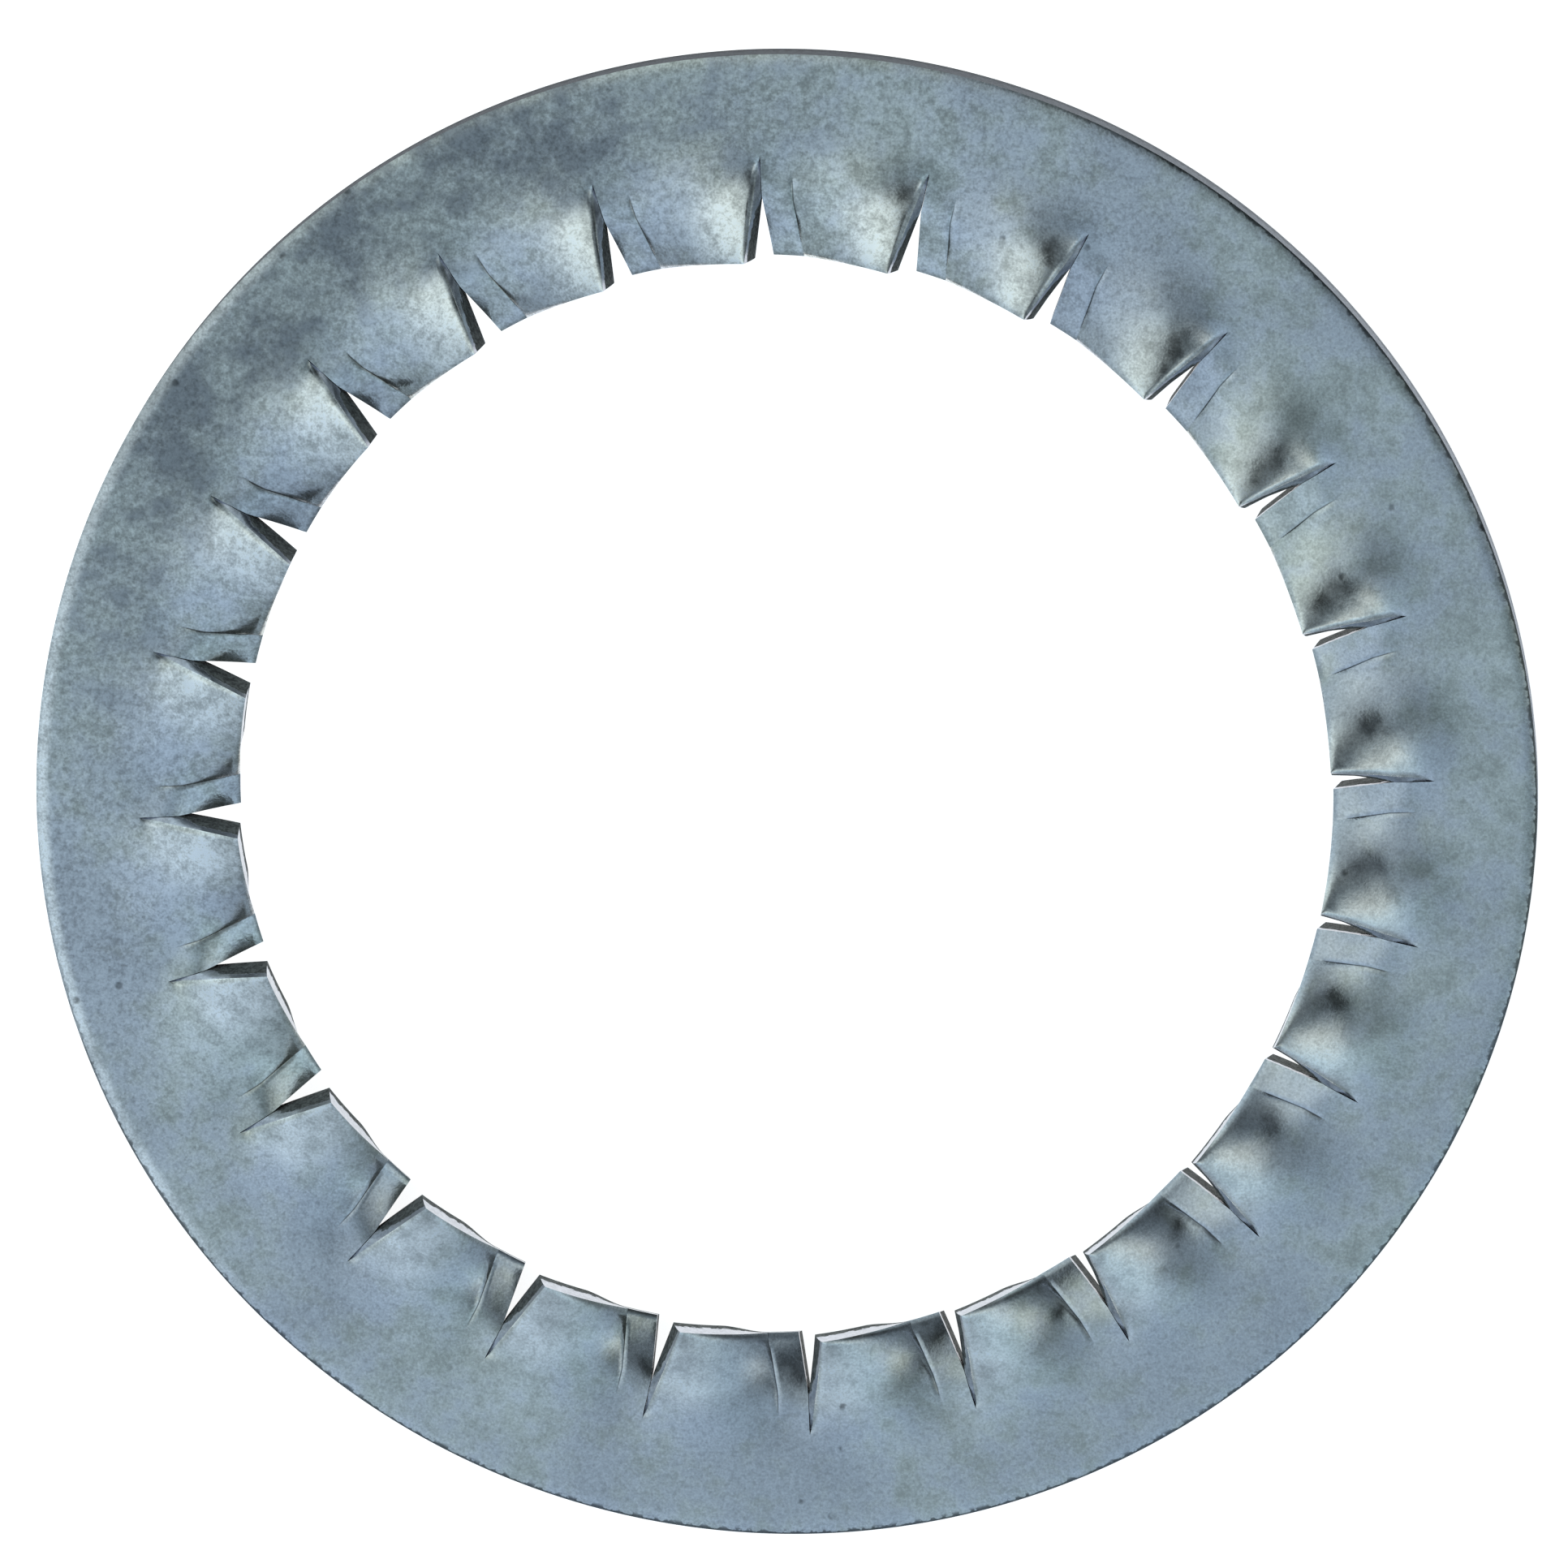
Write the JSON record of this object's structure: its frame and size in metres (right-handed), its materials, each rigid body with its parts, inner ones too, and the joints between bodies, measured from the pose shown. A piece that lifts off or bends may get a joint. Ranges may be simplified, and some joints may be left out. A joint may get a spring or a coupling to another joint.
{
  "type": "toothed lock washer",
  "caption": "Flat ring lock washer in plated spring steel, with teeth lanced round its bore and twisted so that their corners stand out of both faces.",
  "frame": {"origin": "on the washer's axis, at the height of the lowest tooth corners, on which it lies", "axes": "+Z along the washer's axis, out of the face whose outer edge is rolled over; a tooth's centre line lies on +X"},
  "size_m": [0.028, 0.028, 0.0019],
  "materials": {
    "plated_steel": "satin zinc-plated spring steel"
  },
  "bodies": {
    "root": {"toothed_washer": "plated_steel"}
  },
  "joints": []
}
